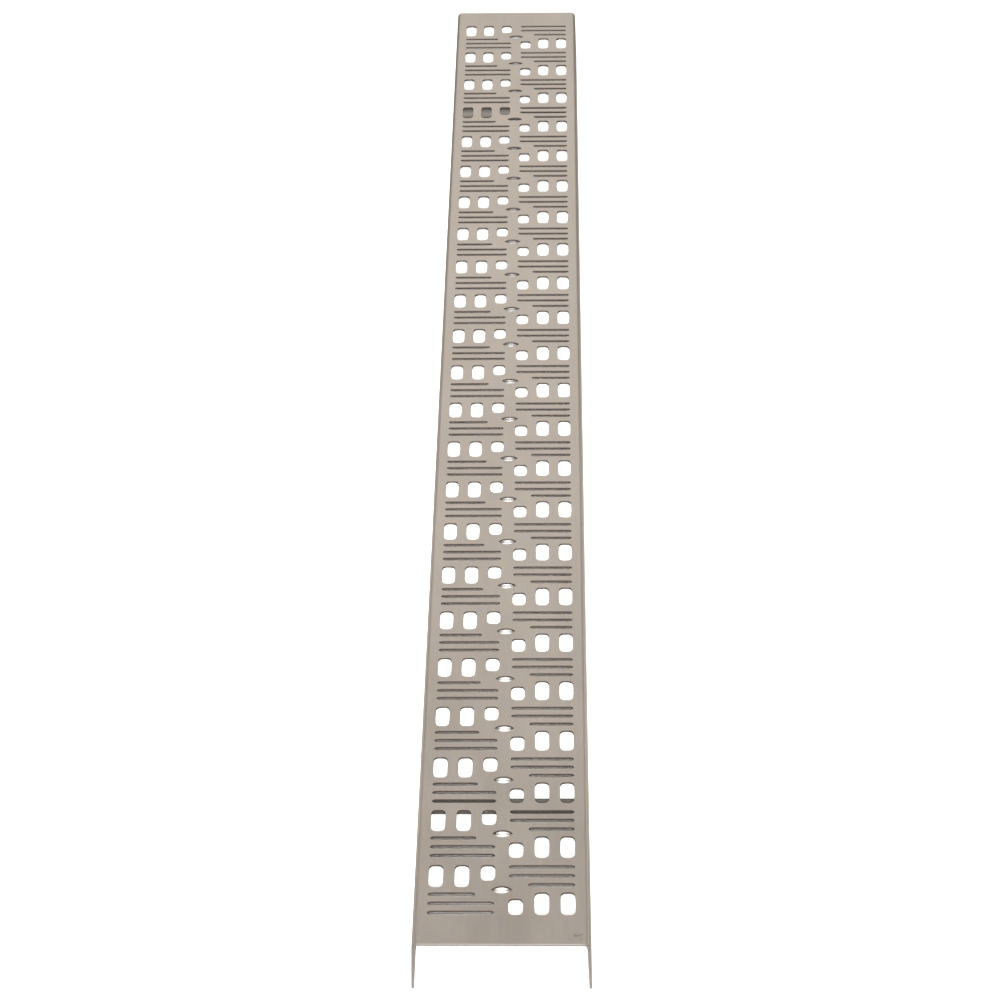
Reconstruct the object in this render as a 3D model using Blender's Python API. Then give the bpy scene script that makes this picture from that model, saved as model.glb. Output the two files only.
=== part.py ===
"""Perforated channel tray: one folded sheet with a punched deck, stiffened by two welded cross rods.

The tray lies along Y, is open at both ends and underneath, and stands on the cut edges of its two
side flanges. X runs across it and Z is up. The origin is on the floor under the middle of the deck.

The sheet is built as three solids with a hairline gap at each bend line: the flat punched deck and
a bent flange along each side.
"""
import math

import bmesh
import bpy

MM = 0.001

# Folded sheet
LENGTH = 1000 * MM
DECK_WIDTH = 100 * MM                 # across the outsides of the bends
HEIGHT = 40 * MM                      # floor to the top of the deck
SHEET = 1.6 * MM
INNER_BEND_RADIUS = 2.2 * MM
OUTER_BEND_RADIUS = INNER_BEND_RADIUS + SHEET
SPLAY = math.radians(2.3)             # each flange leans outwards by this much
BEND_STEPS = 4
GAP = 0.3 * MM                        # hairline gap between neighbouring solids

# Punched pattern: one cell, repeated along the deck, and the same when turned half a turn
CELL_PITCH = 41.9 * MM
CELL_COUNT = 23
WINDOW_WIDTH = 8.4 * MM
WINDOW_CORNER = 3.0 * MM
WINDOW_COLUMNS = (8.0 * MM, 22.9 * MM, 37.8 * MM)   # centres, from the middle of the deck
WINDOW_FAR_END = 18.4 * MM            # along Y from the middle of the cell
TALL_WINDOW_NEAR_END = 1.8 * MM
SHORT_WINDOW_NEAR_END = 6.5 * MM
SLOT_WIDTH = 3.1 * MM
SLOT_OUTER_END = 42.0 * MM            # across X from the middle of the deck
SHORT_SLOT = (3.45 * MM, 15.1 * MM)   # (place along Y, inner end across X)
LONG_SLOTS = ((10.1 * MM, 4.05 * MM), (16.7 * MM, 4.05 * MM))
LENS_WIDTH = 12.0 * MM
LENS_LENGTH = 5.6 * MM
LENS_ARC_STEPS = 4

# Cross rods, round bars between the flanges
ROD_RADIUS = 4.75 * MM
ROD_HEIGHT = 17.2 * MM                # of the rod's centre line above the floor
ROD_PLACE = 378 * MM                  # along Y, each way from the middle
ROD_STEPS = 32

# Fillet weld around each end of a rod
WELD_LEG = 2.0 * MM
WELD_BULGE = 0.62                     # the bead's face passes this share of the leg out from its corner

SHARP_ANGLE = math.radians(35)
SIDES = {"left": -1, "right": 1}
ENDS = {"front": -1, "rear": 1}


def clear_scene():
    for obj in list(bpy.data.objects):
        bpy.data.objects.remove(obj, do_unlink=True)


def make_material(name, color, roughness):
    material = bpy.data.materials.new(name)
    material.use_nodes = True
    shader = material.node_tree.nodes["Principled BSDF"]
    shader.inputs["Base Color"].default_value = (*color, 1.0)
    shader.inputs["Metallic"].default_value = 1.0
    shader.inputs["Roughness"].default_value = roughness
    return material


def make_object(name, mesh_data, material=None):
    """Turn a bmesh into a named object with outward faces."""
    bmesh.ops.recalc_face_normals(mesh_data, faces=mesh_data.faces)
    mesh = bpy.data.meshes.new(name)
    mesh_data.to_mesh(mesh)
    mesh_data.free()
    obj = bpy.data.objects.new(name, mesh)
    bpy.context.scene.collection.objects.link(obj)
    if material:
        mesh.materials.append(material)
    return obj


def shade_round(obj):
    obj.data.shade_smooth()
    obj.data.set_sharp_from_angle(angle=SHARP_ANGLE)
    return obj


def add_prism(mesh_data, outline, bottom, top):
    """Extrude a closed outline of (x, y) points between two heights."""
    lower = [mesh_data.verts.new((x, y, bottom)) for x, y in outline]
    upper = [mesh_data.verts.new((x, y, top)) for x, y in outline]
    skin_rings(mesh_data, [lower, upper])


def bridge_rings(mesh_data, ring, following):
    for i in range(len(ring)):
        j = (i + 1) % len(ring)
        mesh_data.faces.new((ring[i], ring[j], following[j], following[i]))


def skin_rings(mesh_data, rings):
    """Join rings of vertices into a tube and cap both its ends."""
    for ring, following in zip(rings, rings[1:]):
        bridge_rings(mesh_data, ring, following)
    mesh_data.faces.new(rings[0])
    mesh_data.faces.new(rings[-1])


# ---- punched pattern ----

def window_outline(x, near, far):
    """A rectangle with its corners cut off, from near to far along Y."""
    half = WINDOW_WIDTH / 2
    cut = WINDOW_CORNER * (2 - math.sqrt(2))
    corners = []
    for x_sign, y, y_sign in ((-1, near, -1), (1, near, -1), (1, far, 1), (-1, far, 1)):
        side_point = (x + x_sign * half, y - y_sign * cut)
        end_point = (x + x_sign * (half - cut), y)
        first_is_side = x_sign * y_sign > 0
        corners += [side_point, end_point] if first_is_side else [end_point, side_point]
    return corners


def slot_outline(y, inner, outer):
    """A narrow slot along X with pointed ends."""
    half = SLOT_WIDTH / 2
    low, high = sorted((inner, outer))
    return [(low, y), (low + half, y - half), (high - half, y - half),
            (high, y), (high - half, y + half), (low + half, y + half)]


def lens_outline(y):
    """Two shallow arcs that meet in a point at each side."""
    half_width = LENS_WIDTH / 2
    half_length = LENS_LENGTH / 2
    radius = (half_width ** 2 + half_length ** 2) / (2 * half_length)
    outline = []
    for side in (-1, 1):
        for step in range(LENS_ARC_STEPS):
            x = side * half_width * (2 * step / LENS_ARC_STEPS - 1)
            bulge = math.sqrt(radius ** 2 - x ** 2) - (radius - half_length)
            outline.append((x, y + side * bulge))
    return outline


def half_cell_outlines():
    """The holes of one cell that sit left of its middle, about the cell's own centre."""
    for number, column in enumerate(WINDOW_COLUMNS):
        near = SHORT_WINDOW_NEAR_END if number == 0 else TALL_WINDOW_NEAR_END
        yield window_outline(-column, near, WINDOW_FAR_END)
    for place, inner in (SHORT_SLOT, *LONG_SLOTS):
        yield slot_outline(-place, -inner, -SLOT_OUTER_END)


def cell_centres():
    middle = (CELL_COUNT - 1) / 2
    return [(number - middle) * CELL_PITCH for number in range(CELL_COUNT)]


def hole_outlines():
    """Every hole in the deck: each cell is a half pattern and its half turn, around a lens."""
    for centre in cell_centres():
        for outline in half_cell_outlines():
            yield [(x, centre + y) for x, y in outline]
            yield [(-x, centre - y) for x, y in outline]
        yield lens_outline(centre)


def build_hole_cutter():
    mesh_data = bmesh.new()
    for outline in hole_outlines():
        add_prism(mesh_data, outline, HEIGHT - 2 * SHEET, HEIGHT + SHEET)
    cutter = make_object("hole_cutter", mesh_data)
    cutter.hide_render = True
    cutter.display_type = "WIRE"
    return cutter


def build_deck(material):
    """The flat of the sheet between the two bend lines, with every hole cut."""
    half = DECK_WIDTH / 2 - OUTER_BEND_RADIUS - GAP / 2
    end = LENGTH / 2
    mesh_data = bmesh.new()
    outline = [(-half, -end), (half, -end), (half, end), (-half, end)]
    add_prism(mesh_data, outline, HEIGHT - SHEET, HEIGHT)
    deck = make_object("deck_panel", mesh_data, material)
    punching = deck.modifiers.new("punching", "BOOLEAN")
    punching.operation = "DIFFERENCE"
    punching.solver = "EXACT"
    punching.object = build_hole_cutter()
    return deck


# ---- flanges ----

def flange_line(radius):
    """One surface of a bent flange in section, from the bend line down to the floor."""
    centre_x = DECK_WIDTH / 2 - OUTER_BEND_RADIUS
    centre_z = HEIGHT - OUTER_BEND_RADIUS
    points = [(centre_x + GAP / 2, centre_z + radius)]
    for step in range(1, BEND_STEPS + 1):
        turn = (math.pi / 2 - SPLAY) * step / BEND_STEPS
        points.append((centre_x + radius * math.sin(turn), centre_z + radius * math.cos(turn)))
    last_x, last_z = points[-1]
    points.append((last_x + last_z * math.tan(SPLAY), 0.0))
    return points


def flange_inner_x(z):
    """How far out the flange's inner face is at a height below the bend."""
    (top_x, top_z), (foot_x, foot_z) = flange_line(INNER_BEND_RADIUS)[-2:]
    return foot_x + (top_x - foot_x) * (z - foot_z) / (top_z - foot_z)


def build_flange(name, side, material):
    section = flange_line(OUTER_BEND_RADIUS) + flange_line(INNER_BEND_RADIUS)[::-1]
    mesh_data = bmesh.new()
    rings = []
    for y in (-LENGTH / 2, LENGTH / 2):
        rings.append([mesh_data.verts.new((side * x, y, z)) for x, z in section])
    skin_rings(mesh_data, rings)
    return shade_round(make_object(name, mesh_data, material))


# ---- cross rods and welds ----

def rod_circle(mesh_data, side, inset, radius, end):
    """A ring of vertices around a rod, at an even distance from the leaning flange."""
    ring = []
    for step in range(ROD_STEPS):
        turn = 2 * math.pi * step / ROD_STEPS
        y = end * ROD_PLACE + radius * math.cos(turn)
        z = ROD_HEIGHT + radius * math.sin(turn)
        ring.append(mesh_data.verts.new((side * (flange_inner_x(z) - inset), y, z)))
    return ring


def build_cross_rod(name, end, material):
    """A round bar whose ends follow the lean of the flanges."""
    mesh_data = bmesh.new()
    rings = [rod_circle(mesh_data, side, GAP, ROD_RADIUS, end) for side in (-1, 1)]
    skin_rings(mesh_data, rings)
    return shade_round(make_object(name, mesh_data, material))


def build_weld(name, side, end, material):
    """A ring of fillet weld in the corner between a rod and a flange."""
    inner_radius = ROD_RADIUS + GAP
    section = [(0.0, 0.0), (WELD_LEG, 0.0), (WELD_LEG * WELD_BULGE, WELD_LEG * WELD_BULGE),
               (0.0, WELD_LEG)]
    mesh_data = bmesh.new()
    rings = [rod_circle(mesh_data, side, GAP + along_rod, inner_radius + outwards, end)
             for along_rod, outwards in section]
    for ring, following in zip(rings, rings[1:] + rings[:1]):
        bridge_rings(mesh_data, ring, following)
    return shade_round(make_object(name, mesh_data, material))


def main():
    clear_scene()
    sheet_steel = make_material("sheet_steel", (0.44, 0.41, 0.37), 0.38)
    rod_steel = make_material("rod_steel", (0.40, 0.38, 0.35), 0.40)
    weld_steel = make_material("weld_steel", (0.34, 0.32, 0.30), 0.50)

    build_deck(sheet_steel)
    for side_name, side in SIDES.items():
        build_flange(f"{side_name}_flange", side, sheet_steel)
    for end_name, end in ENDS.items():
        build_cross_rod(f"{end_name}_cross_rod", end, rod_steel)
        for side_name, side in SIDES.items():
            build_weld(f"{end_name}_{side_name}_weld", side, end, weld_steel)


main()
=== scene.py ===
"""Visual model of a perforated channel tray: a punched, folded sheet over two welded cross rods."""
import math

import bmesh
import bpy
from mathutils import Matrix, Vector


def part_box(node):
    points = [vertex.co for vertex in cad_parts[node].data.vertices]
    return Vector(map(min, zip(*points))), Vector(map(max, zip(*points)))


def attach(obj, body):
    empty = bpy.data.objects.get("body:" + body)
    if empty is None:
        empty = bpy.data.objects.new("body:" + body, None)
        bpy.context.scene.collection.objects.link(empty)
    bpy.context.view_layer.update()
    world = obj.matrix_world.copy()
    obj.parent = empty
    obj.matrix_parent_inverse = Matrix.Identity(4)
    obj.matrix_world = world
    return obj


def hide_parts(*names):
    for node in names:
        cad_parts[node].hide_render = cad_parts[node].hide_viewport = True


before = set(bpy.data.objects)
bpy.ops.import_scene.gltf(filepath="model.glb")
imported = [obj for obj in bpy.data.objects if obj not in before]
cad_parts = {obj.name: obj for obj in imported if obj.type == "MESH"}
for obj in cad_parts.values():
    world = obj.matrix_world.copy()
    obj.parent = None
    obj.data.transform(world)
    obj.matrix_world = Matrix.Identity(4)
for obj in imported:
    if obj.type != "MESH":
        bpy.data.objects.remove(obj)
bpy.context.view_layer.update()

MM = 0.001

# Sizes read from the CAD model
DECK_LOW, DECK_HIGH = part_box("deck_panel")
FLANGE_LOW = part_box("right_flange")[0]
HEIGHT = DECK_HIGH[2]
SHEET = DECK_HIGH[2] - DECK_LOW[2]
LENGTH = DECK_HIGH[1] - DECK_LOW[1]
BEND_LINE_X = (DECK_HIGH[0] + FLANGE_LOW[0]) / 2

# Folded sheet
INNER_BEND_RADIUS = 2.2 * MM
OUTER_BEND_RADIUS = INNER_BEND_RADIUS + SHEET
SPLAY = math.radians(2.3)
BEND_STEPS = 12
SHADING_MARGIN = 0.5 * MM       # a narrow flat strip beside each bend keeps the flats' shading flat
EDGE_BREAK = 0.1 * MM           # the cut edges of the sheet are slightly chamfered
END_STATIONS = 3                # sections in the plain margin at each end of the sheet
MERGE_DISTANCE = 0.002 * MM

# Punched pattern: one cell, repeated along the deck, and the same when turned half a turn
CELL_PITCH = 41.9 * MM
CELL_COUNT = 23
WINDOW_WIDTH = 8.4 * MM
WINDOW_CORNER = 3.0 * MM
WINDOW_COLUMNS = (8.0 * MM, 22.9 * MM, 37.8 * MM)
WINDOW_FAR_END = 18.4 * MM
TALL_WINDOW_NEAR_END = 1.8 * MM
SHORT_WINDOW_NEAR_END = 6.5 * MM
CORNER_STEPS = 5
SLOT_WIDTH = 3.1 * MM
SLOT_TAPER = 2.6 * MM
SLOT_OUTER_END = 42.0 * MM
SHORT_SLOT = (3.45 * MM, 15.1 * MM)
LONG_SLOTS = ((10.1 * MM, 4.05 * MM), (16.7 * MM, 4.05 * MM))
LENS_WIDTH = 12.0 * MM
LENS_LENGTH = 5.6 * MM
LENS_ARC_STEPS = 12

# Rods and the rippled beads that weld them in
ROD_LOW, ROD_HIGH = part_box("front_cross_rod")
ROD_RADIUS = (ROD_HIGH[2] - ROD_LOW[2]) / 2
ROD_HEIGHT = (ROD_HIGH[2] + ROD_LOW[2]) / 2
ROD_PLACE = -(ROD_HIGH[1] + ROD_LOW[1]) / 2
BEAD_LEG = 2.0 * MM
BEAD_BULGE = 0.12
BEAD_STEPS = 144
BEAD_SECTION_STEPS = 6
BEAD_RIPPLES = 18
BEAD_RIPPLE_DEPTH = 0.16

# The look of the folded sheet. The bends and flanges are painted darker than the deck, and its
# reflection is weakened at grazing angles, because plain steel renders too bright there.
BEND_SHADE = 0.5
BEND_SHADE_REACH = (0.45, 0.85)  # start and end of the shade, in outer bend radii from the bend line
GRAZING_TINT = (0.25, 0.25, 0.25, 1.0)
SCUFF_PLACE = (43.5 * MM, -494.5 * MM, HEIGHT)
SCUFF_REACH = 4.0 * MM
SCUFF_SHADE = 0.7

# Material slots of the folded sheet
SHEET_FACE = 0
HOLE_WALL = 1
CUT_END = 2


# ---- punched pattern ----

def arc(centre, radii, start, end, steps):
    """Points along an elliptical arc, both ends included."""
    points = []
    for step in range(steps + 1):
        angle = math.radians(start + (end - start) * step / steps)
        points.append((centre[0] + radii[0] * math.cos(angle), centre[1] + radii[1] * math.sin(angle)))
    return points


def window_outline(x, near, far):
    half = WINDOW_WIDTH / 2
    radius = WINDOW_CORNER
    low, high = min(near, far), max(near, far)
    radii = (radius, radius)
    outline = arc((x + half - radius, high - radius), radii, 0, 90, CORNER_STEPS)
    outline += arc((x - half + radius, high - radius), radii, 90, 180, CORNER_STEPS)
    outline += arc((x - half + radius, low + radius), radii, 180, 270, CORNER_STEPS)
    outline += arc((x + half - radius, low + radius), radii, 270, 360, CORNER_STEPS)
    return outline


def slot_outline(y, inner, outer):
    low, high = min(inner, outer), max(inner, outer)
    radii = (SLOT_TAPER, SLOT_WIDTH / 2)
    outline = arc((high - SLOT_TAPER, y), radii, -90, 90, 2 * CORNER_STEPS)
    outline += arc((low + SLOT_TAPER, y), radii, 90, 270, 2 * CORNER_STEPS)
    return outline


def lens_outline(y):
    half_width = LENS_WIDTH / 2
    half_length = LENS_LENGTH / 2
    radius = (half_width ** 2 + half_length ** 2) / (2 * half_length)
    outline = []
    for side in (1, -1):
        for step in range(LENS_ARC_STEPS):
            x = side * half_width * (1 - 2 * step / LENS_ARC_STEPS)
            bulge = math.sqrt(radius ** 2 - x ** 2) - (radius - half_length)
            outline.append((x, y + side * bulge))
    return outline


def cell_outlines(centre):
    """Every hole of one cell."""
    outlines = [lens_outline(centre)]
    for turn in (1, -1):
        for number, column in enumerate(WINDOW_COLUMNS):
            near = SHORT_WINDOW_NEAR_END if number == 0 else TALL_WINDOW_NEAR_END
            outlines.append(window_outline(-turn * column, centre + turn * near,
                                           centre + turn * WINDOW_FAR_END))
        for place, inner in (SHORT_SLOT, *LONG_SLOTS):
            outlines.append(slot_outline(centre - turn * place, -turn * inner, -turn * SLOT_OUTER_END))
    return outlines


def add_loop(mesh_data, points):
    verts = [mesh_data.verts.new(point) for point in points]
    for i, vert in enumerate(verts):
        mesh_data.edges.new((vert, verts[(i + 1) % len(verts)]))
    return verts


def loop_edges(mesh_data, verts):
    return [mesh_data.edges.get((vert, verts[(i + 1) % len(verts)])) for i, vert in enumerate(verts)]


def add_hole_wall(mesh_data, ring, following):
    for i in range(len(ring)):
        j = (i + 1) % len(ring)
        face = mesh_data.faces.new((ring[i], ring[j], following[j], following[i]))
        face.smooth = True
        face.material_index = HOLE_WALL


def add_cell(mesh_data, centre):
    """One repeat of the deck: its top and bottom faces, and the walls of its holes."""
    half_x = BEND_LINE_X - SHADING_MARGIN
    half_y = CELL_PITCH / 2
    corners = [(-half_x, centre - half_y), (half_x, centre - half_y),
               (half_x, centre + half_y), (-half_x, centre + half_y)]
    faces = []
    for z in (HEIGHT, HEIGHT - SHEET):
        rings = [add_loop(mesh_data, [(x, y, z) for x, y in outline])
                 for outline in cell_outlines(centre)]
        border = add_loop(mesh_data, [(x, y, z) for x, y in corners])
        edges = [edge for ring in (*rings, border) for edge in loop_edges(mesh_data, ring)]
        bmesh.ops.triangle_fill(mesh_data, use_beauty=True, edges=edges)
        faces.append(rings)
    for upper, lower in zip(*faces):
        add_hole_wall(mesh_data, upper, lower)


# ---- folded section ----

def half_section():
    """Pairs of outer and inner points (x, z) of the right half, from the deck to the foot."""
    centre_x = BEND_LINE_X
    centre_z = HEIGHT - OUTER_BEND_RADIUS
    pairs = [((BEND_LINE_X - SHADING_MARGIN, HEIGHT), (BEND_LINE_X - SHADING_MARGIN, HEIGHT - SHEET))]
    for step in range(BEND_STEPS + 1):
        turn = (math.pi / 2 - SPLAY) * step / BEND_STEPS
        pair = []
        for radius in (OUTER_BEND_RADIUS, INNER_BEND_RADIUS):
            pair.append((centre_x + radius * math.sin(turn), centre_z + radius * math.cos(turn)))
        pairs.append(tuple(pair))

    def down_to(point, z):
        return (point[0] + (point[1] - z) * math.tan(SPLAY), z)

    outer, inner = pairs[-1]
    pairs.append((down_to(outer, outer[1] - SHADING_MARGIN), down_to(inner, inner[1] - SHADING_MARGIN)))
    pairs.append((down_to(outer, EDGE_BREAK), down_to(inner, EDGE_BREAK)))
    foot_outer, foot_inner = down_to(outer, 0.0), down_to(inner, 0.0)
    pairs.append(((foot_outer[0] - EDGE_BREAK, 0.0), (foot_inner[0] + EDGE_BREAK, 0.0)))
    return pairs


def thinned(pair, amount):
    """The same pair with the sheet made thinner by an amount on each face."""
    outer, inner = Vector(pair[0]), Vector(pair[1])
    across = (inner - outer).normalized() * amount
    return tuple(outer + across), tuple(inner - across)


def stations():
    """Places along Y where the section is repeated, with the thinning of its cut ends."""
    end = LENGTH / 2
    pattern_end = CELL_COUNT * CELL_PITCH / 2
    places = [(-end, EDGE_BREAK), (-end + EDGE_BREAK, 0.0), (-end + SHADING_MARGIN, 0.0)]
    places += [(-pattern_end + number * CELL_PITCH, 0.0) for number in range(CELL_COUNT + 1)]
    places += [(end - SHADING_MARGIN, 0.0), (end - EDGE_BREAK, 0.0), (end, EDGE_BREAK)]
    return places


def add_section_skin(mesh_data):
    """Both faces of the bends, flanges and plain end margins, with the cut ends closed."""
    half = half_section()
    section = [((-o[0], o[1]), (-i[0], i[1])) for o, i in reversed(half)] + half
    deck_segment = len(half) - 1
    flat_segments = {1, deck_segment, len(section) - 3}
    rings = []
    for y, thinning in stations():
        pairs = [thinned(pair, thinning) for pair in section]
        rings.append([tuple(mesh_data.verts.new((x, y, z)) for x, z in pair) for pair in pairs])
    for number, (ring, following) in enumerate(zip(rings, rings[1:])):
        in_pattern = END_STATIONS <= number < END_STATIONS + CELL_COUNT
        for segment in range(len(section) - 1):
            if segment == deck_segment and in_pattern:
                continue
            for layer in (0, 1):
                face = mesh_data.faces.new((ring[segment][layer], ring[segment + 1][layer],
                                            following[segment + 1][layer], following[segment][layer]))
                face.smooth = segment not in flat_segments
                at_end = number in (0, len(rings) - 2)
                at_foot = segment in (0, len(section) - 2)
                face.material_index = CUT_END if at_end or at_foot else SHEET_FACE
        for foot in (0, -1):
            face = mesh_data.faces.new((ring[foot][0], ring[foot][1],
                                        following[foot][1], following[foot][0]))
            face.material_index = CUT_END
    for ring in (rings[0], rings[-1]):
        for pair, next_pair in zip(ring, ring[1:]):
            face = mesh_data.faces.new((pair[0], next_pair[0], next_pair[1], pair[1]))
            face.material_index = CUT_END


def build_folded_sheet():
    mesh_data = bmesh.new()
    for number in range(CELL_COUNT):
        add_cell(mesh_data, (number - (CELL_COUNT - 1) / 2) * CELL_PITCH)
    add_section_skin(mesh_data)
    bmesh.ops.remove_doubles(mesh_data, verts=mesh_data.verts, dist=MERGE_DISTANCE)
    bmesh.ops.recalc_face_normals(mesh_data, faces=mesh_data.faces)
    mesh = bpy.data.meshes.new("folded_sheet")
    mesh_data.to_mesh(mesh)
    mesh_data.free()
    sheet = bpy.data.objects.new("folded_sheet", mesh)
    bpy.context.scene.collection.objects.link(sheet)
    return sheet


# ---- rod welds ----

def flange_inner_x(z):
    """How far out the inner face of the right flange is at a height below the bend."""
    inner_points = [pair[1] for pair in half_section()]
    top, foot = inner_points[-3], inner_points[-2]
    return foot[0] + (top[0] - foot[0]) * (z - foot[1]) / (top[1] - foot[1])


def bead_point(centre_y, side, turn, along_rod, outwards):
    """A point on a ring around a rod, measured from the corner between the rod and the flange."""
    radius = ROD_RADIUS + outwards
    z = ROD_HEIGHT + radius * math.sin(turn)
    return side * (flange_inner_x(z) - along_rod), centre_y + radius * math.cos(turn), z


def build_weld_bead(name, side, centre_y):
    """A fillet weld all round the rod's end: a full, rippled bead with overlapping scales."""
    mesh_data = bmesh.new()
    rings = []
    for step in range(BEAD_STEPS):
        turn = 2 * math.pi * step / BEAD_STEPS
        phase = (step * BEAD_RIPPLES / BEAD_STEPS) % 1
        leg = BEAD_LEG * (1 - BEAD_RIPPLE_DEPTH * phase ** 2)
        section = [(0.0, 0.0)]
        for part in range(BEAD_SECTION_STEPS + 1):
            share = part / BEAD_SECTION_STEPS
            bulge = BEAD_BULGE * math.sin(math.pi * share)
            section.append((leg * (1 - share + bulge), leg * (share + bulge)))
        rings.append([mesh_data.verts.new(bead_point(centre_y, side, turn, *corner)) for corner in section])
    for ring, following in zip(rings, rings[1:] + rings[:1]):
        for i in range(len(ring)):
            j = (i + 1) % len(ring)
            face = mesh_data.faces.new((ring[i], ring[j], following[j], following[i]))
            face.smooth = 1 <= i <= BEAD_SECTION_STEPS
    bmesh.ops.recalc_face_normals(mesh_data, faces=mesh_data.faces)
    mesh = bpy.data.meshes.new(name)
    mesh_data.to_mesh(mesh)
    mesh_data.free()
    bead = bpy.data.objects.new(name, mesh)
    bpy.context.scene.collection.objects.link(bead)
    return bead


# ---- materials ----

WARM_TURN = (0.025, 0.0, -0.04)      # share by which the warm patches differ from the mean colour

# How often each noise repeats along X, Y and Z, per metre
TINT_PATCHES = (150.0, 90.0, 150.0)
SCUFF_MARKS = (300.0, 900.0, 300.0)
STEEL_GRAIN = (2600.0, 40.0, 2600.0)
STEEL_CLOUDS = (28.0, 11.0, 28.0)
CUT_MARKS = (1500.0, 1500.0, 300.0)


def new_material(name):
    material = bpy.data.materials.new(name)
    material.use_nodes = True
    return material, material.node_tree, material.node_tree.nodes["Principled BSDF"]


def stretched_noise(tree, frequency):
    """Noise in object space, drawn out along the axis that has the lowest frequency."""
    coordinates = tree.nodes.new("ShaderNodeTexCoord")
    mapping = tree.nodes.new("ShaderNodeMapping")
    mapping.inputs["Scale"].default_value = frequency
    noise = tree.nodes.new("ShaderNodeTexNoise")
    noise.inputs["Scale"].default_value = 1.0
    noise.inputs["Detail"].default_value = 3.0
    tree.links.new(coordinates.outputs["Object"], mapping.inputs["Vector"])
    tree.links.new(mapping.outputs["Vector"], noise.inputs["Vector"])
    return noise.outputs["Fac"]


def remap(tree, value, low, high, from_low=0.3, from_high=0.7):
    node = tree.nodes.new("ShaderNodeMapRange")
    node.inputs["From Min"].default_value = from_low
    node.inputs["From Max"].default_value = from_high
    node.inputs["To Min"].default_value = low
    node.inputs["To Max"].default_value = high
    tree.links.new(value, node.inputs["Value"])
    return node.outputs["Result"]


def multiply(tree, first, second):
    node = tree.nodes.new("ShaderNodeMath")
    node.operation = "MULTIPLY"
    tree.links.new(first, node.inputs[0])
    tree.links.new(second, node.inputs[1])
    return node.outputs["Value"]


def tint(tree, color, shade):
    """A colour made lighter and darker by a shade value around one, and slightly warmer and cooler."""
    patches = stretched_noise(tree, TINT_PATCHES)
    mix = tree.nodes.new("ShaderNodeMix")
    mix.data_type = "VECTOR"
    mix.inputs["A"].default_value = [value * (1 + turn) for value, turn in zip(color, WARM_TURN)]
    mix.inputs["B"].default_value = [value * (1 - turn) for value, turn in zip(color, WARM_TURN)]
    tree.links.new(remap(tree, patches, 0.0, 1.0), mix.inputs["Factor"])
    node = tree.nodes.new("ShaderNodeVectorMath")
    node.operation = "SCALE"
    tree.links.new(mix.outputs["Result"], node.inputs[0])
    tree.links.new(shade, node.inputs["Scale"])
    return node.outputs["Vector"]


def bend_shade(tree):
    """One on the flat deck, falling to a darker value over each bend and down the flanges."""
    coordinates = tree.nodes.new("ShaderNodeTexCoord")
    parts = tree.nodes.new("ShaderNodeSeparateXYZ")
    outward = tree.nodes.new("ShaderNodeMath")
    outward.operation = "ABSOLUTE"
    tree.links.new(coordinates.outputs["Object"], parts.inputs["Vector"])
    tree.links.new(parts.outputs["X"], outward.inputs[0])
    start, end = [BEND_LINE_X + share * OUTER_BEND_RADIUS for share in BEND_SHADE_REACH]
    return remap(tree, outward.outputs["Value"], 1.0, BEND_SHADE, start, end)


def scuff_shade(tree):
    """One on clean metal, falling to a darker value in a few short marks near one front corner."""
    coordinates = tree.nodes.new("ShaderNodeTexCoord")
    distance = tree.nodes.new("ShaderNodeVectorMath")
    distance.operation = "DISTANCE"
    distance.inputs[1].default_value = SCUFF_PLACE
    tree.links.new(coordinates.outputs["Object"], distance.inputs[0])
    nearness = remap(tree, distance.outputs["Value"], 1.0, 0.0, SCUFF_REACH / 2, SCUFF_REACH)
    marks = remap(tree, stretched_noise(tree, SCUFF_MARKS), 0.0, 1.0, 0.5, 0.56)
    return remap(tree, multiply(tree, nearness, marks), 1.0, SCUFF_SHADE, 0.0, 1.0)


def brushed_steel(name, color, roughness, grain_depth, folded=False):
    """Satin steel: a fine grain along Y, soft clouding, and roughness that follows both.

    The folded sheet also has its bend shade, its scuff and its weaker grazing reflection.
    """
    material, tree, shader = new_material(name)
    grain = stretched_noise(tree, STEEL_GRAIN)
    clouds = stretched_noise(tree, STEEL_CLOUDS)
    shade = multiply(tree, remap(tree, grain, 0.96, 1.04), remap(tree, clouds, 0.96, 1.04))
    if folded:
        shade = multiply(tree, shade, multiply(tree, bend_shade(tree), scuff_shade(tree)))
        shader.inputs["Specular Tint"].default_value = GRAZING_TINT
    tree.links.new(tint(tree, color, shade), shader.inputs["Base Color"])
    shader.inputs["Metallic"].default_value = 1.0
    tree.links.new(multiply(tree, remap(tree, grain, roughness * 0.92, roughness * 1.08),
                            remap(tree, clouds, 0.94, 1.06)), shader.inputs["Roughness"])
    bump = tree.nodes.new("ShaderNodeBump")
    bump.inputs["Distance"].default_value = grain_depth
    bump.inputs["Strength"].default_value = 0.5
    tree.links.new(grain, bump.inputs["Height"])
    tree.links.new(bump.outputs["Normal"], shader.inputs["Normal"])
    return material


def cut_edge_steel(name, color, roughness):
    """The sheared walls of the holes and the sheet's cut ends: dull, with fine marks down the wall."""
    material, tree, shader = new_material(name)
    marks = stretched_noise(tree, CUT_MARKS)
    tree.links.new(tint(tree, color, remap(tree, marks, 0.8, 1.2)), shader.inputs["Base Color"])
    shader.inputs["Metallic"].default_value = 1.0
    tree.links.new(remap(tree, marks, roughness * 0.92, roughness * 1.08), shader.inputs["Roughness"])
    return material


# ---- studio ----

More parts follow.
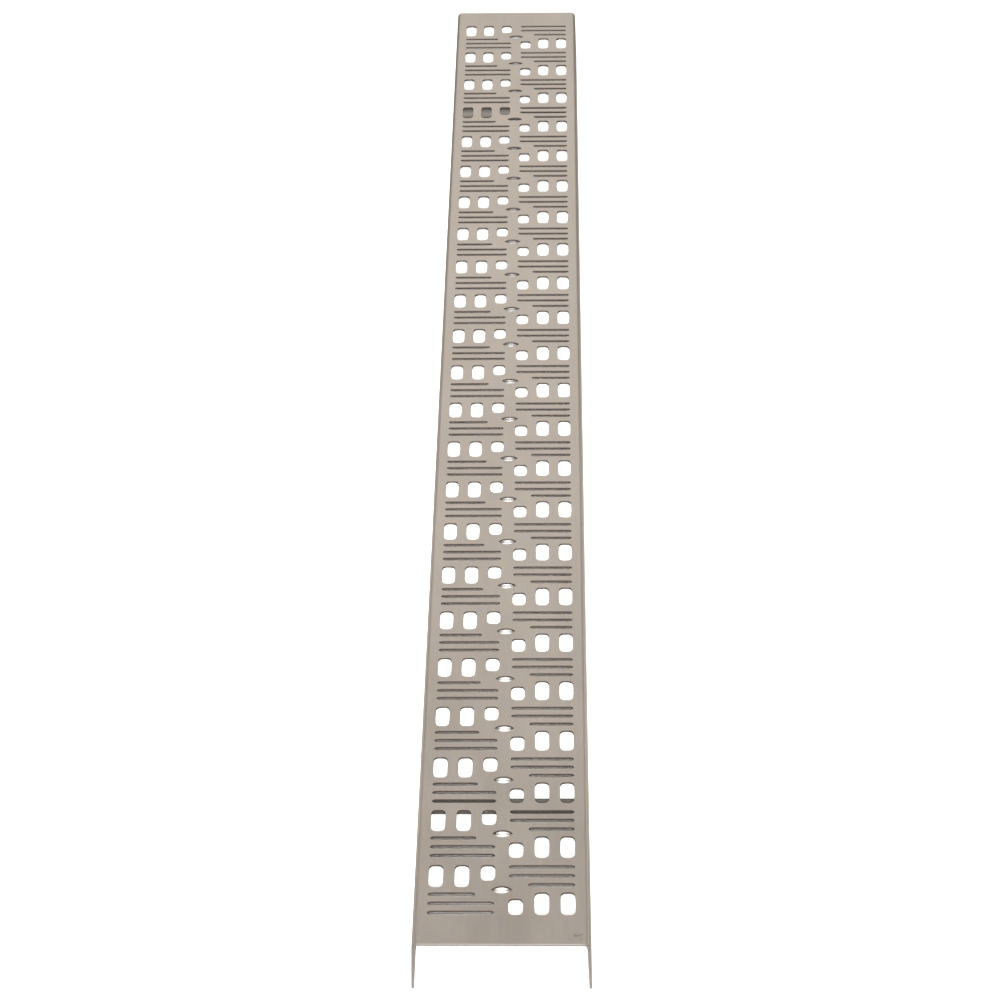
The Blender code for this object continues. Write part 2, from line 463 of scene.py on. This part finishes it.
CAMERA_PLACE = (0.0290, -1.3892, 1.1595)
CAMERA_TURN = (48.44, 0.88, 0.785)    # degrees about X, Y and Z
CAMERA_LENS = 90.94
WORLD_STRENGTH = 0.49
KEY_OFFSET = Vector((0.0, 0.666, 0.746)) * 0.048   # up and down from the camera, square to its view
KEY_RADIUS = 0.024
KEY_POWER = 290.0
KEY_CONE = 70.0                      # degrees, with a fully soft edge
KEY_AIM = (0.0, 1.2, 0.0)
PANEL_PLACE = (0.0, 3.0, 1.6)
PANEL_SIZE = (4.0, 2.4)
PANEL_POWER = 14.5
FLOOR_HALF_SIZE = 8.0
FLOOR_COLOR = (0.9, 0.9, 0.9, 1.0)
FLOOR_ROUGHNESS = 0.9


def build_floor():
    mesh_data = bmesh.new()
    bmesh.ops.create_grid(mesh_data, x_segments=1, y_segments=1, size=FLOOR_HALF_SIZE)
    mesh = bpy.data.meshes.new("floor")
    mesh_data.to_mesh(mesh)
    mesh_data.free()
    floor = bpy.data.objects.new("floor", mesh)
    bpy.context.scene.collection.objects.link(floor)
    material, _tree, shader = new_material("pale_floor")
    shader.inputs["Base Color"].default_value = FLOOR_COLOR
    shader.inputs["Roughness"].default_value = FLOOR_ROUGHNESS
    mesh.materials.append(material)


def add_light(name, kind, place, aim, power):
    light = bpy.data.lights.new(name, kind)
    light.energy = power
    lamp = bpy.data.objects.new(name, light)
    lamp.location = place
    direction = Vector(aim) - Vector(place)
    lamp.rotation_euler = direction.to_track_quat("-Z", "Y").to_euler()
    bpy.context.scene.collection.objects.link(lamp)
    return light


def build_lights():
    world = bpy.data.worlds.new("studio")
    world.use_nodes = True
    background = world.node_tree.nodes["Background"]
    background.inputs["Color"].default_value = (1.0, 1.0, 1.0, 1.0)
    background.inputs["Strength"].default_value = WORLD_STRENGTH
    bpy.context.scene.world = world
    for name, side in (("upper_key", 1), ("lower_key", -1)):
        key = add_light(name, "SPOT", Vector(CAMERA_PLACE) + side * KEY_OFFSET, KEY_AIM, KEY_POWER)
        key.shadow_soft_size = KEY_RADIUS
        key.spot_size = math.radians(KEY_CONE)
        key.spot_blend = 1.0
    panel = add_light("back_panel", "AREA", PANEL_PLACE, (0, 0, 0), PANEL_POWER)
    panel.shape = "RECTANGLE"
    panel.size, panel.size_y = PANEL_SIZE


def build_camera():
    data = bpy.data.cameras.new("camera")
    data.lens = CAMERA_LENS
    camera = bpy.data.objects.new("camera", data)
    camera.location = CAMERA_PLACE
    camera.rotation_euler = [math.radians(angle) for angle in CAMERA_TURN]
    bpy.context.scene.collection.objects.link(camera)
    bpy.context.scene.camera = camera


def main():
    sheet_steel = brushed_steel("brushed_sheet_steel", (0.595, 0.525, 0.455), 0.36, 0.02 * MM, folded=True)
    # The hole walls are much darker than the cut ends: partly the dull sheared steel, partly painted shade
    # for the shade inside the holes and under the deck.
    wall_steel = cut_edge_steel("hole_wall_steel_painted_shade", (0.10, 0.085, 0.075), 0.7)
    end_steel = cut_edge_steel("cut_end_steel", (0.27, 0.245, 0.22), 0.55)
    # The rods' dark colour is painted shade for the shade they sit in under the deck; their high roughness
    # keeps the key lamps' glint off them.
    rod_steel = brushed_steel("rod_steel_painted_shade", (0.16, 0.147, 0.134), 0.85, 0.01 * MM)
    weld_steel = brushed_steel("weld_steel_finish", (0.36, 0.33, 0.30), 0.55, 0.05 * MM)

    sheet = build_folded_sheet()
    for material in (sheet_steel, wall_steel, end_steel):
        sheet.data.materials.append(material)
    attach(sheet, "root")
    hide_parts("deck_panel", "left_flange", "right_flange")

    for end_name, end in (("front", -1), ("rear", 1)):
        bpy.data.objects[f"{end_name}_cross_rod"].data.materials[0] = rod_steel
        for side_name, side in (("left", -1), ("right", 1)):
            name = f"{end_name}_{side_name}"
            bead = build_weld_bead(f"{name}_bead", side, end * ROD_PLACE)
            bead.data.materials.append(weld_steel)
            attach(bead, "root")
            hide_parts(f"{name}_weld")

    build_floor()
    build_lights()
    build_camera()
    bpy.context.scene.view_settings.view_transform = "Standard"


main()
